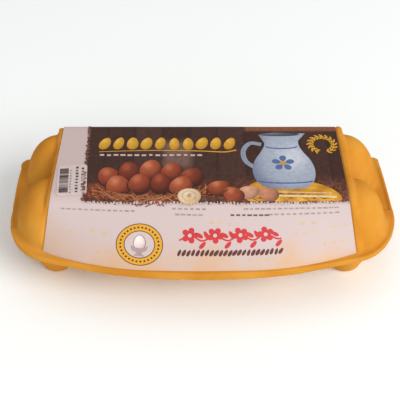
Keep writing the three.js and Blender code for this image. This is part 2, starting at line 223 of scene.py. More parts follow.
def skin(field, xs, ys, zs):
    """The closed surface where field is 0: one point in each cell that it crosses, drawn onto it."""
    axes = (xs, ys, zs)
    values = np.ascontiguousarray(np.broadcast_to(
        field(xs[:, None, None], ys[None, :, None], zs[None, None, :]), (len(xs), len(ys), len(zs))))
    inside = values < 0
    corners = [(i, j, k) for i in (0, 1) for j in (0, 1) for k in (0, 1)]
    n = [len(a) - 1 for a in axes]
    count = sum(inside[i:i + n[0], j:j + n[1], k:k + n[2]].astype(np.int8) for i, j, k in corners)
    cells = np.argwhere((count > 0) & (count < 8))
    number = np.full(n, -1, np.int64)
    number[tuple(cells.T)] = np.arange(len(cells))
    total, hits = np.zeros((len(cells), 3)), np.zeros(len(cells))
    for a in corners:
        for axis in range(3):
            if a[axis]:
                continue
            b = list(a)
            b[axis] = 1
            ia, ib = cells + a, cells + b
            fa, fb = values[tuple(ia.T)], values[tuple(ib.T)]
            cut = (fa < 0) != (fb < 0)
            t = np.where(cut, fa / np.where(cut, fa - fb, 1), 0)
            pa = np.stack([axes[m][ia[:, m]] for m in range(3)], 1)
            pb = np.stack([axes[m][ib[:, m]] for m in range(3)], 1)
            total += np.where(cut[:, None], pa + (pb - pa) * t[:, None], 0)
            hits += cut
    verts = total / hits[:, None]
    cell = np.stack([np.diff(axes[m])[cells[:, m]] for m in range(3)], 1)
    middle = verts.copy()
    h = 0.02
    for _ in range(4):
        x, y, z = verts.T
        f = field(x, y, z)
        g = np.stack([field(x + h, y, z) - field(x - h, y, z), field(x, y + h, z) - field(x, y - h, z),
                      field(x, y, z + h) - field(x, y, z - h)], 1) / (2 * h)
        step = f[:, None] * g / np.maximum((g * g).sum(1), 0.05)[:, None]
        verts = np.clip(verts - np.clip(step, -0.5, 0.5), middle - 0.6 * cell, middle + 0.6 * cell)
    faces = []
    for axis, (u, v) in enumerate(((1, 2), (2, 0), (0, 1))):
        lo, hi = [slice(None)] * 3, [slice(None)] * 3
        lo[axis], hi[axis] = slice(None, -1), slice(1, None)
        low, high = inside[tuple(lo)], inside[tuple(hi)]
        edges = np.argwhere(low != high)
        edges = edges[(edges[:, u] > 0) & (edges[:, v] > 0) & (edges[:, u] < n[u]) & (edges[:, v] < n[v])]
        quad = []
        for du, dv in ((-1, -1), (0, -1), (0, 0), (-1, 0)):
            q = edges.copy()
            q[:, u] += du
            q[:, v] += dv
            quad.append(number[tuple(q.T)])
        quad = np.stack(quad, 1)
        outward = low[tuple(edges.T)]
        quad[~outward] = quad[~outward][:, ::-1]
        faces.append(quad)
    return verts, np.concatenate(faces)


def closed(faces, rim, n):
    """Faces of a thin shape: its upper ones, the same turned over n points on, and the wall along its rim."""
    under = [[n + i for i in f[::-1]] for f in faces]
    wall = [[a, n + a, n + b, b] for a, b in zip(rim, np.roll(rim, -1))]
    return faces + under + wall


def fan(n, rings):
    """Faces of a centre point with rings of n points round it."""
    faces = [[0, 1 + i, 1 + (i + 1) % n] for i in range(n)]
    for a in range(1, 1 + (rings - 1) * n, n):
        faces += [[a + i, a + n + i, a + n + (i + 1) % n, a + (i + 1) % n] for i in range(n)]
    return faces


def lattice_rim(rows, cols):
    """The points round the edge of a grid, in order."""
    return [*range(cols), *range(2 * cols - 1, rows * cols, cols),
            *range(rows * cols - 2, (rows - 1) * cols - 1, -1), *range((rows - 2) * cols, 0, -cols)]


# ---- distances that the foam is made of ---------------------------------------------------------------
def fillet(a, b, r):
    """Two forms joined, the valley between them filled to radius r."""
    return np.maximum(r, np.minimum(a, b)) - np.hypot(np.maximum(r - a, 0), np.maximum(r - b, 0))


def bevel(a, b, r):
    """What two forms share, their common edge rounded to radius r."""
    return np.minimum(np.maximum(a, b), -r) + np.hypot(np.maximum(a + r, 0), np.maximum(b + r, 0))


def slab(v, low, high):
    """What lies between two values."""
    return np.abs(v - (low + high) / 2) - (high - low) / 2


def corner(a, b, c, r):
    """Two half-spaces cut together with a rounded edge; c is the cosine between their normals."""
    u, v = a + r, b + r
    arc = np.sqrt(np.maximum(u * u + v * v - 2 * u * v * c, 0) / (1 - c * c)) - r
    return np.where((u > v * c) & (v > u * c), arc, np.maximum(a, b))


class Plan:
    """Signed distance to a closed outline seen from above, kept on a grid."""

    def __init__(self, outline, step=0.7, room=5.0):
        self.step, self.low = step, outline.min(0) - room
        n = np.ceil((outline.max(0) + room - self.low) / step).astype(int) + 1
        p = self.low + step * np.stack(np.meshgrid(np.arange(n[0]), np.arange(n[1]), indexing="ij"), -1)
        best, within = np.full(n, 1e9), np.zeros(n, bool)
        for a, b in zip(outline, np.roll(outline, -1, 0)):
            e, w = b - a, p - a
            t = np.clip((w @ e) / (e @ e), 0, 1)
            q = w - t[..., None] * e
            best = np.minimum(best, (q * q).sum(-1))
            if a[1] != b[1]:
                spans = (a[1] > p[..., 1]) != (b[1] > p[..., 1])
                within ^= spans & (a[0] + w[..., 1] * e[0] / e[1] > p[..., 0])
        self.grid = np.sqrt(best) * np.where(within, -1, 1)

    def __call__(self, x, y):
        u = np.clip((x - self.low[0]) / self.step, 0, self.grid.shape[0] - 1.001)
        v = np.clip((y - self.low[1]) / self.step, 0, self.grid.shape[1] - 1.001)
        i, j = u.astype(int), v.astype(int)
        a, b = u - i, v - j
        g = self.grid
        return ((g[i, j] * (1 - a) + g[i + 1, j] * a) * (1 - b)
                + (g[i, j + 1] * (1 - a) + g[i + 1, j + 1] * a) * b)


def rim_outline(s, band=False):
    """The rim from above: bowed front, wide front corners, ends that draw in, small back corners. The lid's
    front band follows the skirt's bow and stands out round the corners."""
    cx, cy, r = CORNER
    if band:
        half = [(x, float(skirt_y(x))) for x in np.linspace(0, BAND_MEET_X, 40)[:-1]]
        turned = math.radians(90) - math.atan2(cy - float(skirt_y(BAND_MEET_X)), BAND_MEET_X - cx)
    else:
        centre = cy + math.sqrt((TRAY_FRONT_R - r) ** 2 - cx**2)
        turned = math.asin(cx / (TRAY_FRONT_R - r))
        half = [(TRAY_FRONT_R * math.sin(a), centre - TRAY_FRONT_R * math.cos(a))
                for a in np.linspace(0, turned, 24)[:-1]]
    for a in np.linspace(turned, math.pi / 2, 36):
        out = r + (BAND_OUT * smooth(*np.radians(BAND_TURN), a) if band else 0)
        half.append((cx + out * math.sin(a), cy - out * math.cos(a)))
    rb = BACK_CORNER_R
    bx, by = s.rim_half - BACK_NARROW - rb, RIM_BACK_Y - rb
    half += [(cx + r + (bx + rb - cx - r) * t, cy + (by - cy) * t) for t in np.linspace(0, 1, 24)[1:-1]]
    half += [(bx + rb * math.cos(a), by + rb * math.sin(a)) for a in np.linspace(0, math.pi / 2, 10)]
    at_end = 100
    right = [(x - drawn_in(y, *END_IN[1]) if x > at_end else x, y) for x, y in half]
    left = []
    for x, y in half[:0:-1]:
        behind = LEFT_BACK_IN * float(smooth(*LEFT_BACK_Y, y))
        left.append((-x + drawn_in(y, *END_IN[0]), y - behind) if x > at_end else (-x, y))
    # one more point keeps the back edge straight up to the corner that draws in
    return np.array([*right, (-113.0, RIM_BACK_Y), *left])


def drawn_in(y, much, at, wide):
    """How far an end of the rim draws in at y."""
    return much * math.exp(-(((y - at) / wide) ** 2))


def skirt_y(x):
    """Y of the bowed front edge."""
    return -HINGE_Y + SKIRT_RISE * x * x


def lid_half(z):
    """Half length of the lid's middle at a height: its ends slope a little."""
    return LID_HALF + (PLATEAU_Z - z) * DRAFT


def wall_foot(x):
    """Y of the front wall's foot: it keeps close to the bowed edge and draws in at the ends."""
    return skirt_y(x) + FOOT_IN + FOOT_END_IN * np.abs(x / SKIRT_HALF) ** FOOT_POWER


def section(x, y, z, s):
    """The lid's middle in the Y-Z plane: flat top, wide front fold, sloping front, steep back."""
    foot = wall_foot(np.clip(x * lid_half(WALL_PLAN_Z) / lid_half(z), -100, 100))
    m = (FOLD_Y - foot) / (s.plateau - WALL_FOOT_Z)
    q = np.sqrt(1 + m * m)
    top = z - s.plateau
    front = (FOLD_Y - m * (s.plateau - z) - y) / q
    qb = math.hypot(1, BACK_LEAN)
    back = (y - PLATEAU_BACK_Y - BACK_LEAN * (s.plateau - z)) / qb
    return np.maximum(corner(top, front, m / q, FOLD_R), corner(top, back, BACK_LEAN / qb, BACK_EDGE_R))


def lid_middle(x, y, z, s):
    """The lid between its end domes, with a low raised border beside the label at the right end."""
    foot_z = 33.0
    body = section(x, y, z, s)
    swell = np.where(x < 0, LEFT_SWELL, 0.0) * smooth(18, 44, y)
    side = (np.abs(x) - lid_half(z) - swell) * DRAFT_COS
    edge_r = np.where(x < 0, 1.7 - 0.9 * smooth(30, 42, y), 1.0)
    middle = bevel(np.maximum(body, foot_z - z), side, edge_r)
    inner, outer = LABEL_HALF + LABEL_SHIFT + 0.3 + (s.plateau - z) * DRAFT, lid_half(z)
    edge_r = np.where(x > (inner + outer) / 2, 1.9, 0.9)
    border = bevel(np.maximum(body - BORDER_HIGH, foot_z - z), slab(x, inner, outer), edge_r)
    return fillet(middle, border, 0.35)


def dome_row(x, y, z, s, cy, half_y, lean, more):
    """A row's two end domes: nearly elliptical from above, each leaning along Y as it rises."""
    plan_power, side_power, rise_power = 1.92, 2.4, 1.4
    t = np.clip((z - FLOOR_Z) / (s.dome_height + more), 0, 1.3)
    r = (np.abs((np.abs(x) - 2 * s.pitch) / (s.dome_half + more)) ** plan_power
         + np.abs((y - cy - lean * t) / half_y) ** plan_power)
    g = r ** (side_power / plan_power) + t**rise_power
    return (np.sqrt(g) - 1) * 0.42 * (s.dome_half + half_y)


def domes(x, y, z, s):
    """The end domes, cut off inside the lid's middle and under the rim."""
    out = fillet(*[dome_row(x, y, z, s, *row) for row in DOME_ROWS], 1.1)
    return np.maximum(np.maximum(out, (lid_half(z) - 0.8 - np.abs(x)) * DRAFT_COS), 28.0 - z)


def skirt(x, y, z):
    """The lip of foam that hangs from the lid's bowed front over the seam."""
    front = (skirt_y(x) - y) / np.sqrt(1 + (2 * SKIRT_RISE * x) ** 2)
    low = SKIRT_LOW[0] + (SKIRT_LOW[1] - SKIRT_LOW[0]) * smooth(*SKIRT_CLIMB, np.abs(x))
    hanging = bevel(slab(front, -SKIRT_THICK, 0), slab(z, low, 33), 0.6)
    return np.maximum(hanging, np.abs(x) - SKIRT_HALF)


def left_tab(x, y, z, s):
    """A small squarish tab at the left end's back corner."""
    tab_x, tab_y = np.abs(x + s.rim_half - TAB_IN), np.abs(y - RIM_BACK_Y + TAB_BACK)
    return bevel((tab_x**3 + tab_y**3) ** (1 / 3) - TAB_R, slab(z, SEAM[1], FLOOR_Z + 0.4), 0.7)


def hinge_roll(x, y, z):
    past = np.maximum(np.abs(x) - ROLL_HALF, 0)
    return np.sqrt((y - HINGE_Y + ROLL_R) ** 2 + (z - ROLL_Z) ** 2 + past**2) - ROLL_R


def moulded(x, y, z, s):
    """Slow swells left by the mould, always a little inside the true shape."""
    broad = np.sin(0.19 * x + 1.3) * np.cos(0.16 * y + 0.4)
    return s.wave * (2.1 + broad + np.sin(0.09 * x - 0.21 * y + 0.31 * z))


def lid_field(plan, s):
    def field(x, y, z):
        d = plan(x, y)
        plate = bevel(d, slab(z, SEAM[1], FLOOR_Z), 0.7)
        # the lip runs out into the floor towards the back
        low, high = FLOOR_Z - 0.2, LIP_Z - LIP_LOW
        lip = bevel(slab(d, -s.lip, 0), slab(z, LIP_FROM_Z, low + (high - low) * smooth(44, 38, y)), 0.7)
        # the front band stands a little over the lip, out to a step on each end
        band = bevel(bevel(d, y - np.where(x < 0, *NOTCH_Y), 0.8), slab(z, SEAM[1], LIP_Z), 0.9)
        out = np.maximum(fillet(np.minimum(plate, band), lip, 1.5), d)
        out = fillet(out, bevel(domes(x, y, z, s), d + 0.15, 0.6), 2.6)
        out = fillet(out, lid_middle(x, y, z, s), 0.45 + 0.85 * smooth(-46, -32, y))
        out = np.minimum(np.maximum(out, d), skirt(x, y, z))
        out = fillet(out, left_tab(x, y, z, s), 0.4)
        out = fillet(out, hinge_roll(x, y, z), 1.0)
        return out + moulded(x, y, z, s)

    return field


def cup_row(x, y, z, s, cy):
    """One row of cups: round at the foot, squarer where they meet, with a shallow dimple under each."""
    ax = np.abs(x)
    less = np.where(x < 0, *END_CUP_LESS) * smooth(0, 12, ax - 2 * s.pitch)
    wall = s.cup_foot + (CUP_FLARE - less) * z
    power = 2 + (np.clip(z, 0, 30) / 30) ** 3
    near = np.abs(ax - s.pitch * np.clip(np.round(ax / s.pitch), 0, 2))
    far = np.where(ax > 2 * s.pitch, s.pitch + near, s.pitch - near)
    across = np.abs(y - cy) ** power
    one, two = [(dx**power + across) ** (1 / power) for dx in (near, far)]
    cup = fillet(*[(r - wall) * CUP_COS for r in (one, two)], 3.5)
    foot = corner(-z, cup, 0.4, CUP_EDGE_R)
    return np.maximum(foot, DIMPLE_DEEP * (1 - (one / DIMPLE_R) ** 2) - z)


def tray_field(plan, s):
    def field(x, y, z):
        d = plan(x, y)
        # under the lid the flange rises a little into it, so that no light comes through the seam
        top = SEAM[0] + 0.9 * smooth(-2.4, -3.4, d)
        flange = bevel(d + TRAY_IN, slab(z, TRAY_LOW_Z, top), 0.7)
        cups = fillet(*[cup_row(x, y, z, s, cy) for cy in ROW_Y], 5.0)
        web = bevel(np.abs(x) - 2 * s.pitch - WEB_END, np.abs(y - sum(ROW_Y) / 2) - WEB_HALF_Y, WEB_R)
        cups = fillet(cups, bevel(web, slab(z, *WEB_Z), 3.0), 4.5)
        out = fillet(np.maximum(cups, z - CUPS_TOP_Z), flange, 2.2)
        return out + moulded(x, y, z, s) * smooth(0.5, 5, z)

    return field


# ---- the label's surface ------------------------------------------------------------------------------
def wave_of(x, v):
    """The paper's own slight waves."""
    return 0.05 + 0.025 * (np.sin(0.11 * x + 0.05 * v) + np.sin(0.07 * x - 0.13 * v + 1.0))


def on_label(x, v, lift):
    """Places for label millimetres: x across it, v down it from the lid's back edge, lift off the foam."""
    f = (x - LABEL_SHIFT) / LABEL_HALF
    foot = wall_foot(LABEL_SHIFT + f * (LABEL_HALF + (PLATEAU_Z - WALL_PLAN_Z) * DRAFT))
    m = (FOLD_Y - foot) / (PLATEAU_Z - WALL_FOOT_Z)
    q = np.sqrt(1 + m * m)
    top = PLATEAU_Z + lift
    fold = FOLD_Y - lift / q + m * lift * (1 - m / q)
    qb = math.hypot(1, BACK_LEAN)
    back = PLATEAU_BACK_Y + lift / qb - BACK_LEAN * lift * (1 - BACK_LEAN / qb)
    past = v - TOP_LEN
    past = np.where(past > 0, past * q / WRAP, past)
    r, turn = FOLD_R + lift, np.arccos(m / q)
    cut = r * np.tan(turn / 2)
    a = turn * np.clip((past + cut) / (2 * cut), 0, 1)
    y = np.where(past < -cut, back - v * (back - fold) / TOP_LEN, fold + cut - r * np.sin(a))
    z = np.where(past < -cut, top, top - r + r * np.cos(a))
    y = np.where(past > cut, fold - past * m / q, y)
    z = np.where(past > cut, top - past / q, z)
    rb, turn_b = BACK_EDGE_R + lift, math.acos(BACK_LEAN / qb)
    cut_b = rb * math.tan(turn_b / 2)
    b = turn_b * np.clip((cut_b - v) / (2 * cut_b), 0, 1)
    y = np.where(v < cut_b, back - cut_b + rb * np.sin(b), y)
    z = np.where(v < cut_b, top - rb + rb * np.cos(b), z)
    y = np.where(v < -cut_b, back - v * BACK_LEAN / qb, y)
    z = np.where(v < -cut_b, top + v / qb, z)
    half = LABEL_HALF + (PLATEAU_Z - np.minimum(z, PLATEAU_Z)) * DRAFT
    return np.stack([LABEL_SHIFT + f * half, y, z], 1)


def on_paper(p, lift):
    """Printed points, lift over the paper's upper face."""
    return on_label(p[:, 0], p[:, 1], PAPER_OUT + wave_of(p[:, 0], p[:, 1]) + lift)


def laid_flat(p, lift):
    """Points of a small drawing, before it is repeated along a path."""
    return np.stack([p[:, 0], -p[:, 1], np.broadcast_to(lift, len(p))], 1)


class Printing:
    """Closed slivers of ink on a surface, with a colour at every point."""

    def __init__(self, place=on_paper):
        self.place, self.verts, self.faces, self.tints, self.size = place, [], [], [], 0

    def sliver(self, pts, faces, rim, tint, level):
        """A flat shape laid on the surface: its own points and faces, and its rim in order."""
        n = len(pts)
        x, y = pts[rim].T
        if np.sum(x * np.roll(y, -1) - y * np.roll(x, -1)) > 0:
            faces, rim = [f[::-1] for f in faces], rim[::-1]
        high, low = self.place(pts, INK * level), self.place(pts, INK * level - INK_THICK)
        self.verts += [high, low]
        self.faces += [[self.size + i for i in f] for f in closed(faces, rim, n)]
        ink = linear(np.broadcast_to(np.asarray(tint(pts) if callable(tint) else tint, float), (n, 3)))
        self.tints += [ink, ink]
        self.size += 2 * n

    def patch(self, outline, tint, level, rings=4):
        """A filled outline; tint is a colour or a function of the points."""
        n, c = len(outline), outline.mean(0)
        pts = np.vstack([c[None]] + [c + (outline - c) * k for k in np.linspace(0, 1, rings + 1)[1:]])
        rim = np.arange(1 + (rings - 1) * n, 1 + rings * n)
        self.sliver(pts, fan(n, rings), rim, tint, level)

    def stroke(self, path, width, tint, level):
        """A line of the given width along a path."""
        path = np.asarray(path, float)
        d = np.gradient(path, axis=0)
        side = np.stack([-d[:, 1], d[:, 0]], 1) / np.linalg.norm(d, axis=1)[:, None]
        half = np.broadcast_to(np.asarray(width, float) / 2, len(path))[:, None]
        n = len(path)
        pts = np.vstack([path + side * half, path - side * half])
        faces = [[i, n + i, n + i + 1, i + 1] for i in range(n - 1)]
        rim = np.concatenate([np.arange(n), np.arange(2 * n - 1, n - 1, -1)])
        self.sliver(pts, faces, rim, tint, level)

    def sheet(self, grid, tint, level):
        """A filled grid of points, rows by columns."""
        r, c = grid.shape[:2]
        pts = grid.reshape(-1, 2)
        faces = [[i * c + j, i * c + j + 1, (i + 1) * c + j + 1, (i + 1) * c + j]
                 for i in range(r - 1) for j in range(c - 1)]
        self.sliver(pts, faces, np.array(lattice_rim(r, c)), tint, level)

    def repeat(self, draw, path, count, level, **chance):
        """One small drawing, made about the origin by draw, repeated along a path of label millimetres."""
        one = Printing(laid_flat)
        draw(one)
        pts, faces, ink = repeated(one.object("shape"), path, count, **chance)
        self.verts.append(self.place(pts[:, :2] * (1, -1), pts[:, 2] + INK * level))
        self.faces += [[self.size + i for i in f] for f in faces]
        self.tints.append(ink)
        self.size += len(pts)

    def object(self, name):
        ob = new_object(name, np.vstack(self.verts), self.faces)
        rgba = np.ones((self.size, 4), np.float32)
        rgba[:, :3] = np.vstack(self.tints)
        ob.data.attributes.new("ink", "FLOAT_COLOR", "POINT").data.foreach_set("color", rgba.ravel())
        return ob


def circle(cx, cv, rx, rv=None, n=40):
    t = np.linspace(0, 2 * math.pi, n, endpoint=False)
    return np.stack([cx + rx * np.cos(t), cv + (rv or rx) * np.sin(t)], 1)


def egg(cx, cv, w, h, lean=0.0, n=30):
    """An egg's outline, its blunt end down the label; lean in degrees."""
    t = np.linspace(0, 2 * math.pi, n, endpoint=False)
    x = w / 2 * np.cos(t) * (1 + 0.14 * np.sin(t))
    v = h / 2 * np.sin(t)
    a = math.radians(lean)
    return np.stack([cx + x * math.cos(a) - v * math.sin(a), cv + x * math.sin(a) + v * math.cos(a)], 1)


def rounded_form(base, glow, deep, centre, size, sun=(-0.3, -0.45)):
    """Shading of a round body, lit from the upper left unless sun says otherwise."""
    base, glow, deep = (np.asarray(c, float) for c in (base, glow, deep))

    def tint(p):
        u = (p - np.asarray(centre)) / (np.asarray(size) / 2)
        k = np.hypot(u[:, 0] - sun[0], u[:, 1] - sun[1])
        light, dark = smooth(0.75, 0.0, k)[:, None], smooth(0.75, 1.6, k)[:, None]
        return base + (glow - base) * light + (deep - base) * dark

    return tint


# ---- materials ----------------------------------------------------------------------------------------
def add_node(tree, kind, inputs=None, **settings):
    """A node whose inputs each take a value or are wired to another node's output."""
    n = tree.nodes.new(kind)
    for key, value in settings.items():
        setattr(n, key, value)
    for key, value in (inputs or {}).items():
        if isinstance(value, bpy.types.NodeSocket):
            tree.links.new(value, n.inputs[key])
        else:
            n.inputs[key].default_value = value
    return n


class Shader:
    """A node material with one Principled shader, its textures fixed to the object."""

    def __init__(self, name, **sockets):
        self.material = bpy.data.materials.new(name)
        self.material.use_nodes = True
        self.tree = self.material.node_tree
        self.tree.nodes.clear()
        self.at = self.node("ShaderNodeTexCoord").outputs["Object"]
        given = {k.replace("_", " "): v for k, v in sockets.items()}
        self.bsdf = self.node("ShaderNodeBsdfPrincipled", given)
        self.node("ShaderNodeOutputMaterial", {0: self.bsdf.outputs[0]})

    def node(self, kind, inputs=None, **settings):
        return add_node(self.tree, kind, inputs, **settings)

    def set(self, name, value):
        """Wire a value to one of the shader's own inputs."""
        self.tree.links.new(value, self.bsdf.inputs[name])

    def noise(self, scale, detail=2.0, rough=0.5):
        given = {"Vector": self.at, "Scale": scale, "Detail": detail, "Roughness": rough}
        return self.node("ShaderNodeTexNoise", given).outputs["Fac"]

    def remap(self, value, low, high, to_low=0.0, to_high=1.0):
        given = {0: value, 1: low, 2: high, 3: to_low, 4: to_high}
        return self.node("ShaderNodeMapRange", given, interpolation_type="SMOOTHSTEP").outputs[0]

    def math(self, kind, a, b):
        return self.node("ShaderNodeMath", {0: a, 1: b}, operation=kind).outputs[0]

    def mix(self, factor, *colours):
        a, b = [(*c, 1) if isinstance(c, tuple) else c for c in colours]
        return self.node("ShaderNodeMix", {0: factor, 6: a, 7: b}, data_type="RGBA").outputs[2]

    def grain(self, height, strength, distance):
        given = {"Strength": strength, "Distance": distance, "Height": height}
        self.set("Normal", self.node("ShaderNodeBump", given).outputs[0])

    def colour(self, value):
        self.set("Base Color", value)
        return self.material


def foam_material():
    c = bpy.context.scene.carton_colours
    s = Shader("dyed_foam", Roughness=0.75, Specular_IOR_Level=0.1, IOR=1.3)
    broad = s.remap(s.noise(38, 3), 0.35, 0.68)
    colour = s.mix(broad, tuple(c.foam), tuple(c.foam_deep))
    speck = s.remap(s.noise(1500, 2), 0.3, 0.75)
    colour = s.mix(s.math("MULTIPLY", speck, 0.16), colour, swatch(196, 112, 22))
    cells = s.node("ShaderNodeTexVoronoi", {"Vector": s.at, "Scale": 1300}, feature="F1").outputs["Distance"]
    height = s.math("ADD", s.math("MULTIPLY", cells, 0.55), s.noise(420, 4, 0.6))
    s.grain(height, 0.12, 0.00025)
    s.set("Roughness", s.remap(s.noise(160, 3), 0.3, 0.7, 0.68, 0.82))
    return s.colour(colour)


def paper_material():
    """Bare paper, tinted along its lower edge and low on its left."""
    c = bpy.context.scene.carton_colours
    s = Shader("label_paper", Roughness=0.46, Specular_IOR_Level=0.4)
    flat = s.node("ShaderNodeUVMap", uv_map="flat").outputs[0]
    across, down, _ = s.node("ShaderNodeSeparateXYZ", {0: flat}).outputs
    wander = s.math("MULTIPLY", s.math("SUBTRACT", s.noise(34, 3), 0.5), 0.5)
    down = s.math("ADD", down, wander)
    low = s.remap(down, 0.92, 1.17, 0.0, 0.62)
    left = s.remap(s.math("SUBTRACT", down, s.math("MULTIPLY", across, 0.45)), 1.12, 1.5, 0.0, 0.55)
    edge = s.remap(down, 1.07, 1.14, 0.0, 0.2)
    tinted = s.math("ADD", s.math("MAXIMUM", low, left), edge)
    colour = s.mix(tinted, tuple(c.paper), tuple(c.peach))
    fibre = s.remap(s.noise(900, 4, 0.6), 0.3, 0.8)
    colour = s.mix(s.math("MULTIPLY", fibre, 0.07), colour, swatch(196, 176, 172))
    s.grain(s.math("ADD", s.noise(1400, 3), s.math("MULTIPLY", s.noise(60, 2), 2.0)), 0.07, 0.0003)
    return s.colour(colour)


def ink_material(name, patchy=0.16):
    """Ink that takes its colour from the printed shapes."""
    s = Shader(name, Roughness=0.45, Specular_IOR_Level=0.3)
    ink = s.node("ShaderNodeAttribute", attribute_name="ink").outputs["Color"]
    mottle = s.remap(s.noise(520, 4, 0.65), 0.28, 0.72)
    colour = s.mix(s.math("MULTIPLY", mottle, patchy), ink, (0.02, 0.012, 0.01))
    s.grain(s.noise(1400, 2), 0.04, 0.0002)
    return s.colour(colour)


def sticker_material():
    s = Shader("sticker_paper", Roughness=0.5, Specular_IOR_Level=0.35)
    fibre = s.remap(s.noise(700, 4), 0.3, 0.75)
    s.grain(s.noise(1100, 3), 0.06, 0.0002)
    return s.colour(s.mix(fibre, swatch(206, 190, 188), swatch(196, 178, 176)))


def floor_material():
    s = Shader("pale_floor", Roughness=0.7, Specular_IOR_Level=0.2)
    return s.colour(s.mix(s.noise(4, 2), swatch(250, 255, 255), swatch(247, 252, 253)))


# ---- repeats ------------------------------------------------------------------------------------------
REPEAT_INPUTS = (("Piece", "Object", None), ("Count", "Int", 10), ("Least length", "Float", 1.0),
                 ("Most length", "Float", 1.0), ("Turn", "Float", 0.0), ("Spread", "Float", 0.0),
                 ("Shade", "Float", 0.0), ("Seed", "Int", 0), ("Material", "Material", None))


def repeat_tree():
    """Lays a piece at even steps along a flat path, each one a little different."""
    tree = bpy.data.node_groups.new("repeat_on_path", "GeometryNodeTree")
    tree.interface.new_socket("Geometry", in_out="INPUT", socket_type="NodeSocketGeometry")
    for name, kind, value in REPEAT_INPUTS:
        item = tree.interface.new_socket(name, in_out="INPUT", socket_type="NodeSocket" + kind)
        if value is not None:
            item.default_value = value
    tree.interface.new_socket("Geometry", in_out="OUTPUT", socket_type="NodeSocketGeometry")

    def node(kind, inputs=None, **settings):
        return add_node(tree, kind, inputs, **settings)

    given = node("NodeGroupInput").outputs

    def chance(low, high, offset):
        seed = node("FunctionNodeIntegerMath", {0: given["Seed"], 1: offset}, operation="ADD").outputs[0]
        return node("FunctionNodeRandomValue", {"Seed": seed, 2: low, 3: high}, data_type="FLOAT").outputs[1]

    def either_way(name, offset):
        """Chance between minus the named input and the input itself."""
        least = node("ShaderNodeMath", {0: given[name], 1: -1}, operation="MULTIPLY").outputs[0]
        return chance(least, given[name], offset)

    points = node("GeometryNodeCurveToPoints", {"Curve": given["Geometry"], "Count": given["Count"]},
                  mode="COUNT")
    along = node("FunctionNodeAxesToRotation",
                 {"Primary Axis": (0, 0, 1), "Secondary Axis": points.outputs["Tangent"]},
                 primary_axis="Z", secondary_axis="X")
    turn = node("FunctionNodeAxisAngleToRotation", {"Axis": (0, 0, 1), "Angle": either_way("Turn", 1)})
    spin = node("FunctionNodeRotateRotation", {"Rotation": along.outputs[0], "Rotate By": turn.outputs[0]},
                rotation_space="LOCAL")
    stretch = chance(given["Least length"], given["Most length"], 2)
    size = node("ShaderNodeCombineXYZ", {0: stretch, 1: 1, 2: 1})
    piece = node("GeometryNodeObjectInfo", {"Object": given["Piece"], "As Instance": True})
    place = node("GeometryNodeInstanceOnPoints",
                 {"Points": points.outputs["Points"], "Instance": piece.outputs["Geometry"],
                  "Rotation": spin.outputs[0], "Scale": size.outputs[0]})
    shift = node("ShaderNodeCombineXYZ", {1: either_way("Spread", 3)})
    move = node("GeometryNodeTranslateInstances",
                {"Instances": place.outputs[0], "Translation": shift.outputs[0], "Local Space": True})
    note = node("GeometryNodeStoreNamedAttribute",
                {"Geometry": move.outputs[0], "Name": "shade", "Value": either_way("Shade", 4)},
                data_type="FLOAT", domain="INSTANCE")
    real = node("GeometryNodeRealizeInstances", {0: note.outputs[0]})
    painted = node("GeometryNodeSetMaterial", {"Geometry": real.outputs[0], "Material": given["Material"]})
    node("NodeGroupOutput", {0: painted.outputs[0]})
    return tree


def repeated(piece, path, count, least=1.0, most=1.0, turn=0.0, spread=0.0, shade=0.0, seed=0):
    """Points, faces and colours of a flat piece repeated along a path of label millimetres."""
    tree = bpy.data.node_groups.get("repeat_on_path") or repeat_tree()
    curve = bpy.data.curves.new("path", "CURVE")
    curve.dimensions = "3D"
    spline = curve.splines.new("POLY")
    spline.points.add(len(path) - 1)
    flat = np.zeros((len(path), 4))
    flat[:, :2], flat[:, 3] = np.asarray(path) * (0.001, -0.001), 1
    spline.points.foreach_set("co", flat.ravel())
    holder = bpy.data.objects.new("repeat", curve)
    bpy.context.scene.collection.objects.link(holder)
    mod = holder.modifiers.new("repeat", "NODES")
    mod.node_group = tree
    values = {"Piece": piece, "Count": int(count), "Least length": float(least), "Most length": float(most),
              "Turn": float(turn), "Spread": float(spread) * 0.001, "Shade": float(shade), "Seed": int(seed),
              "Material": bpy.data.materials.get("label_ink")}
    for item in tree.interface.items_tree:
        if item.in_out == "INPUT" and item.name in values:
            mod[item.identifier] = values[item.name]
    holder.update_tag()
    graph = bpy.context.evaluated_depsgraph_get()
    graph.update()
    mesh = bpy.data.meshes.new_from_object(holder.evaluated_get(graph), depsgraph=graph)
    n = len(mesh.vertices)
    if not n:
        raise RuntimeError("nothing was repeated along the path")
    co, ink, tone = np.empty(n * 3), np.empty(n * 4), np.zeros(n)
    mesh.vertices.foreach_get("co", co)
    mesh.attributes["ink"].data.foreach_get("color", ink)
    mesh.attributes["shade"].data.foreach_get("value", tone)
    faces = [list(f.vertices) for f in mesh.polygons]
    bpy.data.objects.remove(holder)
    bpy.data.objects.remove(piece)
    return co.reshape(-1, 3) * 1000, faces, np.clip(ink.reshape(-1, 4)[:, :3] * (1 + tone[:, None]), 0, 1)


def line(x0, v0, x1, v1, n=12):
    t = np.linspace(0, 1, n)[:, None]
    return np.array([x0, v0]) * (1 - t) + np.array([x1, v1]) * t


def spline(points, steps, ring=False):
    """A smooth line through points, closed into a ring where that is asked for."""
    points = np.asarray(points, float)
    if ring:
        held = np.vstack([points[-1], points, points[:2]])
    else:
        held = np.vstack([2 * points[0] - points[1], points, 2 * points[-1] - points[-2]])
    out = []
    for i in range(1, len(held) - 2):
        a, b, c, d = held[i - 1:i + 3]
        for t in np.arange(steps) / steps:
            out.append(0.5 * (2 * b + (c - a) * t + (2 * a - 5 * b + 4 * c - d) * t * t
                              + (3 * b - a - 3 * c + d) * t**3))
    return np.array(out if ring else [*out, points[-1]])


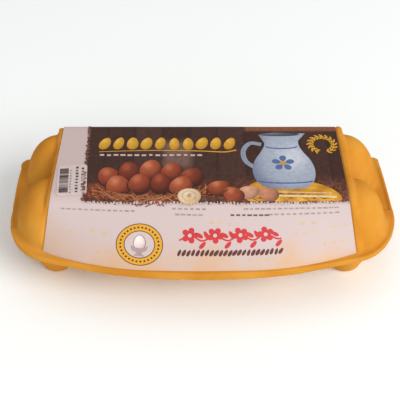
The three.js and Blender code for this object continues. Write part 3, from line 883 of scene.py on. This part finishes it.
def dash(width, colour):
    """A bar one millimetre long, lengthened where it is repeated."""
    return lambda one: one.stroke(line(-0.5, 0, 0.5, 0, 3), width, colour, 0)


def straw(length, width, colour, upright=False):
    """A thin stroke along the path, or across it where it stands upright."""
    ends = (0, -length / 2, 0, length / 2) if upright else (-length / 2, 0, length / 2, 0)
    return lambda one: one.stroke(line(*ends, 5), width, colour, 0)


# ---- operators ----------------------------------------------------------------------------------------
class CARTON_OT_foam(bpy.types.Operator):
    """Mould the lid and the tray, with their rims, domes, cups and rolled hinge"""

    bl_idname = "carton.foam"
    bl_label = "Lid and Tray"

    def execute(self, context):
        s = sizes()
        foam = foam_material()
        g = s.grain
        # fine round the domes and the corners, coarse along the lid's plain middle
        fine = np.arange(FINE_X, END_X, g)
        coarse = np.arange(COARSE_STEP - FINE_X, FINE_X - COARSE_STEP / 2, COARSE_STEP)
        long = np.concatenate([-fine[::-1], coarse, fine])
        across = np.arange(-SIDE_Y, SIDE_Y + 0.4, g)
        up = np.concatenate([np.arange(28.0, 36.0, g * 0.82), np.arange(36.2, 68.2, g * 1.3)])
        verts, faces = skin(lid_field(Plan(rim_outline(s, band=True)), s), long, across, up)
        lid = add_piece("foam_lid", verts, faces, foam)
        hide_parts("carton")
        step = g * 1.35
        verts, faces = skin(tray_field(Plan(rim_outline(s)), s), np.arange(-END_X, END_X + 0.2, step),
                            np.arange(-SIDE_Y, SIDE_Y + 0.4, step), np.arange(-0.7, 32.6, step * 0.9))
        tray = add_piece("foam_tray", verts, faces, foam)
        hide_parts("carton")
        return {"FINISHED"}


class CARTON_OT_label(bpy.types.Operator):
    """Wrap the paper label over the lid's top and down its front"""

    bl_idname = "carton.label"
    bl_label = "Paper Label"

    def execute(self, context):
        xs = LABEL_SHIFT + LABEL_HALF * np.linspace(-1, 1, 97)
        ends = TOP_LEN + (PLATEAU_Z - LABEL_FOOT_Z[0]) * WRAP
        # rows close together over the two folds
        vs = np.concatenate([np.linspace(-10.6, -3.8, 4), np.linspace(-3.2, 3.4, 9), np.linspace(6, 62, 18),
                             np.linspace(64.4, 73, 12), np.linspace(LABEL_FRONT_V, ends, 18)])
        n, m = len(vs), len(xs)
        x, v = (a.ravel() for a in np.meshgrid(xs, vs))
        short = (LABEL_FOOT_Z[1] - LABEL_FOOT_Z[0]) * WRAP * smooth(45, 8, np.abs(x))
        v = v - short * np.clip((v - LABEL_FRONT_V) / (ends - LABEL_FRONT_V), 0, 1)
        high = on_label(x, v, PAPER_OUT + wave_of(x, v))
        low = on_label(x, v, np.full(len(x), PAPER_IN))
        faces = [[i * m + j, (i + 1) * m + j, (i + 1) * m + j + 1, i * m + j + 1]
                 for i in range(n - 1) for j in range(m - 1)]
        faces = closed(faces, lattice_rim(n, m)[::-1], n * m)
        ob = add_piece("paper_label", np.vstack([high, low]), faces, paper_material())
        flat = ob.data.uv_layers.new(name="flat")
        loops = np.empty(len(ob.data.loops), np.int64)
        ob.data.loops.foreach_get("vertex_index", loops)
        uv = np.stack([np.tile(x, 2)[loops], np.tile(v, 2)[loops]], 1) / 100
        flat.data.foreach_set("uv", uv.ravel())
        ob.data.shade_smooth()
        ob.data.set_sharp_from_angle(angle=math.radians(50))
        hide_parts("label")
        return {"FINISHED"}


class CARTON_OT_picture(bpy.types.Operator):
    """Print the dark panel on the label's top with its nest of eggs, jug, cloth and golden marks"""

    bl_idname = "carton.picture"
    bl_label = "Top Print"

    def execute(self, context):
        look = context.scene.carton_print
        rng = np.random.default_rng(look.seed)
        gold = colour_of("gold")
        ink = ink_material("label_ink", 0.22)
        p = Printing()
        self.panel(p, rng)
        self.nest(p, rng, look)
        self.jug(p)
        self.marks(p, gold)

        def golden_egg(one):
            form = rounded_form(gold, gold + (22, 28, 34), gold * 0.8, (0, 0), (7, 12))
            one.patch(egg(0, 0, 6.8, 11.8, 10, 26), form, 0, 4)

        p.repeat(golden_egg, line(-61, 19.4, 18, 19.4), 10, 4,
                 least=0.94, most=1.1, turn=0.2, spread=0.5, seed=look.seed)
        flourish = spline([(-64, 27.2), (-30, 26.0), (0, 26.6), (14, 27.4), (22, 25.6)], 8)
        p.stroke(flourish, np.linspace(0.5, 1.2, len(flourish)), gold, 4)
        p.repeat(dash(1.5, (204, 184, 182)), line(-62, 30.4, -1, 30.6), 15, 4,
                 least=1.8, most=3.3, spread=0.2, seed=look.seed + 2)
        # strokes that make the panel's lower and left edges look torn
        dark, light = (112, 74, 62), colour_of("paper")
        ragged = ((dark, line(-69, 71.4, 86.2, 71.7, 40), 84, 1.5, 6.4),
                  (light, line(-69, 72.1, 86.2, 72.4, 40), 80, 1.7, 6.7),
                  (dark, line(-72.4, 1.0, -69.8, 70, 40), 52, 1.9, 6.4))
        for k, (colour, edge, count, size, level) in enumerate(ragged):
            p.repeat(straw(size, 0.5, colour, upright=True), edge, count, level,
                     least=0.5, most=3.0, turn=0.5, spread=0.6, shade=0.0 if colour is light else 0.25,
                     seed=look.seed + 3 + k)
        mount(p.object("label_picture"), ink)
        return {"FINISHED"}

    def panel(self, p, rng):
        """The dark panel: boards with a pale haze, a beam at the right and straw low down."""
        cols, wide = 150, 17.5  # columns of points, and how wide a board is
        j = np.linspace(0, 1, cols)
        i = np.concatenate([np.linspace(0, 0.07, 12)[:-1], np.linspace(0.07, 1, 66)])
        rows = len(i)
        left = -72.6 + 2.6 * i + rng.uniform(-0.9, 0.9, rows)
        low = 71.6 + rng.uniform(-1.1, 0.9, cols)
        x = left[:, None] + (87.15 - left[:, None]) * j[None, :]
        v = -1.0 + (low[None, :] + 1.0) * i[:, None]
        base = colour_of("panel")
        speck = rng.normal(0, 1, (rows, cols)).ravel()

        def tint(q):
            px, pv = q[:, 0:1], q[:, 1:2]
            along = px + 200
            gap = wide / 2 - np.abs(along % wide - wide / 2)
            haze = smooth(12, 6, np.abs(px + 15)) * smooth(12, 22, pv) * smooth(48, 38, pv)
            beam = smooth(26, 30, px) * smooth(7.5, 5.5, pv)
            straw = smooth(46, 60, pv) * (0.35 + 0.55 * smooth(18, 30, px))
            out = base + 6 * np.sin(np.floor(along / wide) * 2.3)
            for colour, share in (((34, 22, 20), smooth(0.9, 0.0, gap) * 0.8), ((124, 98, 88), haze * 0.85),
                                  ((140, 84, 58), beam * 0.9), ((104, 56, 36), straw)):
                out = out + (np.array(colour) - out) * share
            return out + (speck * (4 + 14 * straw[:, 0]))[:, None]

        p.sheet(np.stack([x, v], -1), tint, 1)

    def nest(self, p, rng, look):
        """Brown eggs in a bowl of straw, and two more beside it."""
        bowl = circle(-31, 62, 41, 9.6, 48)
        p.patch(bowl, rounded_form((116, 50, 30), (150, 74, 42), (62, 28, 18), (-31, 62), (84, 22)), 2, 3)
        coats = (((146, 62, 34), (192, 108, 72), (78, 28, 16)), ((162, 76, 44), (208, 128, 90), (92, 36, 20)),
                 ((118, 46, 26), (166, 82, 52), (60, 20, 12)))
        spots = ((-56, 50, -24), (-44, 45.5, -8), (-31, 43.5, 6), (-18, 45.5, 10), (-6, 50.5, 26),
                 (-50, 58, -14), (-37, 56, 4), (-24, 56, -6), (-12, 58.5, 14))
        for k, (cx, cv, lean) in enumerate(spots):
            w, h = 13.6 + rng.uniform(-0.8, 0.8), 17.0 + rng.uniform(-0.8, 0.8)
            base, glow, deep = coats[(k * 2) % 3]
            level = 2.7 + 0.25 * k
            p.patch(egg(cx, cv + 0.7, w + 1.2, h + 1.2, lean), (58, 26, 18), level)
            p.patch(egg(cx, cv, w, h, lean), rounded_form(base, glow, deep, (cx, cv), (w, h)), level + 0.12)
        ring = [(-31 + 39 * k * math.cos(a), 61 + 9.5 * k * math.sin(a))
                for k in (0.97, 0.82) for a in np.linspace(0.0, math.pi, 40)]
        for k, (colour, path) in enumerate((((156, 84, 48), ring[:40]), ((92, 42, 24), ring[:40]),
                                            ((170, 104, 64), ring[40:]))):
            p.repeat(straw(7.5, 0.5, colour), path, look.straws // 3, 5.4 + 0.3 * k,
                     least=0.5, most=1.5, turn=0.8, spread=2.6, shade=0.4, seed=look.seed + k)
        for k, colour in enumerate(((128, 72, 44), (84, 42, 28))):
            p.repeat(straw(5.5, 0.45, colour), line(12, 66.5, 84, 64.5, 30), look.straws // 3, 2.0 + 0.2 * k,
                     least=0.5, most=1.4, turn=0.9, spread=4.2, shade=0.4, seed=look.seed + 8 + k)
        for cx, cv, lean in ((10.5, 60, 62), (19, 66, -40)):
            coat = rounded_form((150, 68, 36), (200, 120, 80), (84, 32, 18), (cx, cv), (12, 15))
            p.patch(egg(cx, cv, 11.5, 14.5, lean), coat, 6.2)

    def jug(self, p):
        """A grey jug with blue marks on a yellow cloth, and two pale eggs at its foot."""
        cloth = [(27, 61), (33, 55), (44, 53), (58, 53), (69, 56), (78, 61), (83, 68), (80, 71), (66, 70.8),
                 (52, 71.3), (38, 70.6), (27, 70)]

        def folds(q):
            x, v = q[:, 0:1], q[:, 1:2]
            wave = np.sin(x * 0.42 + v * 0.3) + 0.5 * np.sin(x * 0.9 - v * 0.55)
            return np.array([206, 146, 36]) + wave * np.array([16, 20, 12])

        p.patch(spline(cloth, 6, ring=True), folds, 2.4, 5)
        p.stroke(line(30, 66.5, 80, 67.6, 24), 1.3, (222, 200, 160), 3.0)
        p.stroke(line(31, 63.6, 77, 64.6, 24), 0.7, (222, 200, 160), 3.0)
        handle = [(38, 20), (31, 19), (26.5, 26), (27.5, 36), (34, 43)]
        p.stroke(spline(handle, 8), 3.2, (140, 150, 168), 3.2)
        body = [(64.5, 10.5), (66.5, 9.0), (59, 9.4), (42, 9.6), (37, 10.2), (38.5, 15), (40, 20), (37.5, 27),
                (33, 36), (31.4, 46), (34, 55.5), (40, 60.2), (51, 61.4), (62, 60.2), (67.6, 55), (69.6, 46),
                (68, 36), (63.6, 27), (61.6, 20), (62.4, 14)]
        glaze = rounded_form((166, 176, 194), (206, 212, 222), (104, 112, 138), (50.5, 38), (40, 54),
                             sun=(0.3, -0.2))
        p.patch(spline(body, 5, ring=True), glaze, 3.8, 6)
        mouth = rounded_form((84, 88, 104), (124, 128, 142), (50, 52, 66), (50, 10), (26, 4))
        p.patch(circle(50, 10.2, 13.0, 1.7, 32), mouth, 4.3, 2)
        for cv, w in ((22.0, 9.8), (54.0, 16.4)):
            t = np.linspace(math.pi, 0, 20)
            p.stroke(np.stack([50.6 + w * np.cos(t), cv + 2.2 * np.sin(t)], 1), 1.0, (70, 96, 146), 4.4)
        for k in range(5):
            a = 2 * math.pi * k / 5 - 0.3
            p.patch(egg(50.5 + 4.4 * math.cos(a), 38 + 4.4 * math.sin(a), 4.2, 5.4, math.degrees(a) - 90, 20),
                    (86, 112, 158), 4.4, 2)
        p.patch(circle(50.5, 38, 1.9, n=18), (208, 150, 46), 4.8, 2)
        for cx, cv, lean, tone in ((28.5, 64.0, 74, (204, 150, 122)), (39.5, 65.4, -66, (192, 126, 96))):
            base = np.array(tone)
            coat = rounded_form(base, base + 20, base * 0.66, (cx, cv), (12, 12))
            p.patch(egg(cx, cv, 10.6, 13.4, lean), coat, 4.9)

    def marks(self, p, gold):
        """A small golden wreath at the far corner and a pale disc over the panel's lower edge."""
        a = np.linspace(0.35, 2 * math.pi - 0.35, 40) + math.pi / 2
        cx, cv, r = 76.6, 20.0, 7.6
        p.stroke(np.stack([cx + r * np.cos(a), cv + r * np.sin(a)], 1), 0.7, gold, 4.0)
        for t in np.linspace(0.5, 2 * math.pi - 0.5, 15) + math.pi / 2:
            for out in (-1, 1):
                q = (cx + (r + out * 1.3) * math.cos(t), cv + (r + out * 1.3) * math.sin(t))
                p.patch(egg(*q, 1.3, 3.0, math.degrees(t) + out * 38, 12), gold, 4.2, 1)
        cx, cv = -7.2, 67.0
        outer = rounded_form((220, 196, 162), (232, 216, 190), (188, 156, 116), (cx, cv), (13, 13))
        inner = rounded_form((222, 198, 166), (234, 218, 194), (194, 164, 124), (cx, cv), (8, 8))
        p.patch(circle(cx, cv, 7.1, 6.3), (176, 138, 90), 6.9, 1)
        p.patch(circle(cx, cv, 6.6, 5.8), outer, 7.2)
        p.patch(circle(cx, cv, 4.4, 3.9), (190, 158, 118), 7.6, 1)
        p.patch(circle(cx, cv, 4.0, 3.5), inner, 7.9, 3)
        p.patch(egg(cx, cv, 2.7, 3.5), (190, 156, 112), 8.3, 2)


class CARTON_OT_front_print(bpy.types.Operator):
    """Print the label's front: golden rosette, red garland, brown and grey lines, pale marks"""

    bl_idname = "carton.front_print"
    bl_label = "Front Print"

    def execute(self, context):
        look = context.scene.carton_print
        gold, red, brown, grey = (colour_of(k) for k in ("gold", "red", "brown", "grey"))
        ink = ink_material("front_ink", 0.1)
        p = Printing()
        cx, cv = -35.0, 97.0
        p.patch(circle(cx, cv, 13.4, 12.7, 56), brown, 1, 2)
        p.patch(circle(cx, cv, 12.9, 12.2, 56), gold, 1.6, 3)
        p.patch(circle(cx, cv, 8.9, 8.4, 48), brown, 2.2, 2)
        p.patch(circle(cx, cv, 8.4, 7.9, 48), colour_of("paper") + 6, 2.8, 3)
        shell = rounded_form((226, 210, 206), (244, 236, 232), (190, 168, 166), (cx, cv - 1), (7, 9))
        p.patch(egg(cx, cv - 1.3, 7.2, 9.2), (126, 100, 100), 3.4, 1)
        p.patch(egg(cx, cv - 1.3, 6.5, 8.5), shell, 3.8, 4)
        right = [(0.9, 6.0), (1.4, 5.0), (4.1, 3.6), (5, 0.8), (2.4, 2.0)]
        stand = [(-5, 0.8), (-4.1, 3.6), (-1.4, 5.0), (-0.9, 6.0), (-3.2, 7.1), (3.2, 7.1), *right,
                 (0, 2.3), (-2.4, 2.0)]
        p.patch(np.array(stand) + (cx, cv), (168, 146, 146), 4.6, 2)
        self.garland(p, red)
        around = circle(cx, cv, 10.9, 10.3, 60)
        p.repeat(lambda one: one.patch(circle(0, 0, 0.62, n=10), brown, 0, 1),
                 np.vstack([around, around[:1]]), 31, 2.4)
        rows = ((-81, -40, 76.6, 13, grey), (-16, 1.5, 75.2, 6, grey), (-14, -0.5, 78.6, 5, grey),
                (26, 79, 75.4, 17, grey), (18, 38, 79.0, 7, brown * 0.5 + grey * 0.35),
                (40, 79, 79.0, 12, grey))
        for x0, x1, v, n, tone in rows:
            p.repeat(dash(1.05, tone), line(x0, v, x1, v + 0.3), n, 1,
                     least=1.7, most=2.9, spread=0.06, shade=0.12, seed=look.seed + n)
        p.repeat(lambda one: one.patch(egg(0, 0, 1.8, 4.2, 28, 16), brown, 0, 1),
                 line(-12.4, 101.0, 44.6, 101.6, 20), 23, 1,
                 least=0.9, most=1.2, turn=0.12, spread=0.2, seed=look.seed + 6)
        faint = ((-84, 92.5, 4), (-62, 91.0, 2), (-88, 101.5, 3), (-58, 104.5, 2), (-20, 106.0, 4),
                 (6, 83.6, 3), (27, 106.2, 4), (54, 92.0, 3), (70, 100.5, 3), (58, 85.0, 2), (76, 89.0, 2))
        for x0, v, n in faint:
            p.repeat(dash(1.8, (202, 177, 150)), line(x0, v, x0 + 3.4 * n, v + 0.4, 4), n, 0.4,
                     least=1.2, most=3.6, spread=0.5, shade=0.04, seed=look.seed + int(x0 + v))
        mount(p.object("label_front"), ink)
        return {"FINISHED"}

    def garland(self, p, red):
        """A waving stem with blossoms on its crests and leaves between them."""
        step, first, mid = 14.4, -6.6, 92.3
        t = np.linspace(-12.6, 45.4, 64)
        p.stroke(np.stack([t, mid - 1.7 * np.cos(2 * math.pi * (t - first) / step)], 1), 1.0, red, 1)
        for k in range(4):
            cx, cv = first + step * k, mid - 1.4
            for a in np.radians(np.arange(5) * 72 + 14 * k):
                q = (cx + 2.6 * math.cos(a), cv + 2.6 * math.sin(a))
                p.patch(egg(*q, 3.3, 4.4, math.degrees(a) - 90, 18), red, 1.3 + 0.1 * (k % 2), 2)
            p.patch(circle(cx, cv, 1.15, n=14), colour_of("paper") + 6, 2.0, 1)
            for out, along, lean in ((-1, 5.2, -58), (1, 7.2, 42), (-1, 9.4, -30)):
                q = (cx + along, mid + out * 2.6 - 1.7 * math.cos(2 * math.pi * along / step))
                if q[0] < 46:
                    p.patch(egg(*q, 2.4, 5.2, lean, 18), red, 1.3, 2)


class CARTON_OT_sticker(bpy.types.Operator):
    """Lay the small white sticker on the label, with bars and marks that stand for no real code"""

    bl_idname = "carton.sticker"
    bl_label = "Sticker"

    def execute(self, context):
        look = context.scene.carton_print
        (cx, cy, cz), (w, h), r = STICKER_AT, STICKER_SIZE, STICKER_CORNER_R
        rim = []
        for sx, sy, a0 in ((1, -1, -90), (1, 1, 0), (-1, 1, 90), (-1, -1, 180)):
            for a in np.radians(a0 + np.linspace(0, 90, 8)):
                rim.append((sx * (w / 2 - r) + r * math.cos(a), sy * (h / 2 - r) + r * math.sin(a)))
        rim = np.array(rim)
        cos, sin = math.cos(STICKER_TURN), math.sin(STICKER_TURN)

        def place(p, lift):
            x = cx + p[:, 0] * cos - p[:, 1] * sin
            y = cy + p[:, 0] * sin + p[:, 1] * cos
            curl = 0.06 * smooth(8, 14, p[:, 0] + 0.6 * np.abs(p[:, 1]))
            into = np.maximum(FOLD_Y + STICKER_BEND_IN - y, 0)
            drop = STICKER_BEND_R - np.sqrt(STICKER_BEND_R**2 - into**2)
            return np.stack([x, y, cz + curl + lift - drop], 1)

        rings, n = 8, len(rim)
        pts = np.vstack([[(0, 0)]] + [rim * k for k in np.linspace(0, 1, rings + 1)[1:]])
        faces = closed(fan(n, rings), 1 + (rings - 1) * n + np.arange(n), len(pts))
        verts = np.vstack([place(pts, STICKER_THICK), place(pts, 0.0)])
        ob = add_piece("sticker_paper", verts, faces, sticker_material(), smooth_faces=False)
        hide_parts("sticker")
        p = Printing(lambda q, lift: place(q * (1, -1), STICKER_THICK + INK_THICK + lift))
        p.repeat(straw(5.4, 0.42, (58, 46, 48), upright=True), line(-4.9, -10.2, -4.9, 11.2), look.bars, 0,
                 least=0.5, most=2.4, seed=look.seed + 1)
        small, large = dash(0.9, (140, 120, 120)), dash(1.6, (84, 68, 68))
        rows = ((small, -0.9, -8.5, 11.5, 9, 0.7, 1.5, 0.1), (large, 2.9, -10.8, 11.0, 9, 0.9, 2.2, 0.15),
                (large, 6.3, -9.6, 9.8, 8, 0.8, 2.2, 0.15))
        for k, (mark, x, start, end, count, least, most, spread) in enumerate(rows):
            p.repeat(mark, line(x, start, x, end), count, 0,
                     least=least, most=most, spread=spread, seed=look.seed + 2 + k)
        mount(p.object("sticker_bars"), ink_material("sticker_ink", 0.05))
        return {"FINISHED"}


class CARTON_OT_stage(bpy.types.Operator):
    """Set out the pale floor, the soft lights and the camera"""

    bl_idname = "carton.stage"
    bl_label = "Stage"

    def execute(self, context):
        scene = context.scene
        floor = bpy.data.objects.new("floor", bpy.data.meshes.new("floor"))
        square = [(x * FLOOR_HALF, y * FLOOR_HALF, 0) for x, y in ((-1, -1), (1, -1), (1, 1), (-1, 1))]
        floor.data.from_pydata(square, [], [(0, 1, 2, 3)])
        floor.data.materials.append(floor_material())
        scene.collection.objects.link(floor)
        for name, at, size, power, tone in LIGHTS:
            light = bpy.data.lights.new(name, "AREA")
            light.size, light.energy, light.color = size, power, tone
            ob = bpy.data.objects.new(name, light)
            ob.location = at
            away = -ob.location
            away.z += 0.03  # each light looks at a point inside the carton
            ob.rotation_euler = away.to_track_quat("-Z", "Y").to_euler()
            scene.collection.objects.link(ob)
        world = bpy.data.worlds.new("studio")
        world.use_nodes = True
        background = world.node_tree.nodes["Background"]
        background.inputs["Color"].default_value = AMBIENT_TONE
        background.inputs["Strength"].default_value = AMBIENT
        scene.world = world
        scene.view_settings.view_transform = "Standard"
        camera = bpy.data.cameras.new("camera")
        camera.sensor_width = 36
        camera.lens = camera.sensor_width * FOCAL_PX / IMAGE_PX
        camera.clip_start = 0.01
        ob = bpy.data.objects.new("camera", camera)
        ob.location = CAMERA_AT
        ob.rotation_euler = (math.radians(90 - CAMERA_DOWN), 0, 0)
        scene.collection.objects.link(ob)
        scene.camera = ob
        return {"FINISHED"}


STEPS = (CARTON_OT_foam, CARTON_OT_label, CARTON_OT_picture, CARTON_OT_front_print, CARTON_OT_sticker,
         CARTON_OT_stage)


class CARTON_PT_panel(bpy.types.Panel):
    """The carton's sizes, colours and building steps"""

    bl_idname = "CARTON_PT_panel"
    bl_label = "Egg Carton"
    bl_space_type = "VIEW_3D"
    bl_region_type = "UI"
    bl_category = "Egg Carton"

    def draw(self, context):
        layout = self.layout
        for title, group in (("Sizes", context.scene.carton_sizes), ("Colours", context.scene.carton_colours),
                             ("Print", context.scene.carton_print)):
            box = layout.box()
            box.label(text=title)
            for key in type(group).__annotations__:
                box.prop(group, key)
        for step in STEPS:
            layout.operator(step.bl_idname)


GROUPS = (("carton_sizes", CartonSizes), ("carton_colours", CartonColours), ("carton_print", CartonPrint))


def register():
    for cls in (*(g for _, g in GROUPS), *STEPS, CARTON_PT_panel):
        bpy.utils.register_class(cls)
    for name, group in GROUPS:
        setattr(bpy.types.Scene, name, PointerProperty(type=group))


def unregister():
    for name, _ in GROUPS:
        delattr(bpy.types.Scene, name)
    for cls in (CARTON_PT_panel, *STEPS[::-1], *(g for _, g in GROUPS[::-1])):
        bpy.utils.unregister_class(cls)


def main():
    register()
    bpy.ops.carton.foam()
    bpy.ops.carton.label()
    bpy.ops.carton.picture()
    bpy.ops.carton.front_print()
    bpy.ops.carton.sticker()
    bpy.ops.carton.stage()


if __name__ == "__main__":
    main()
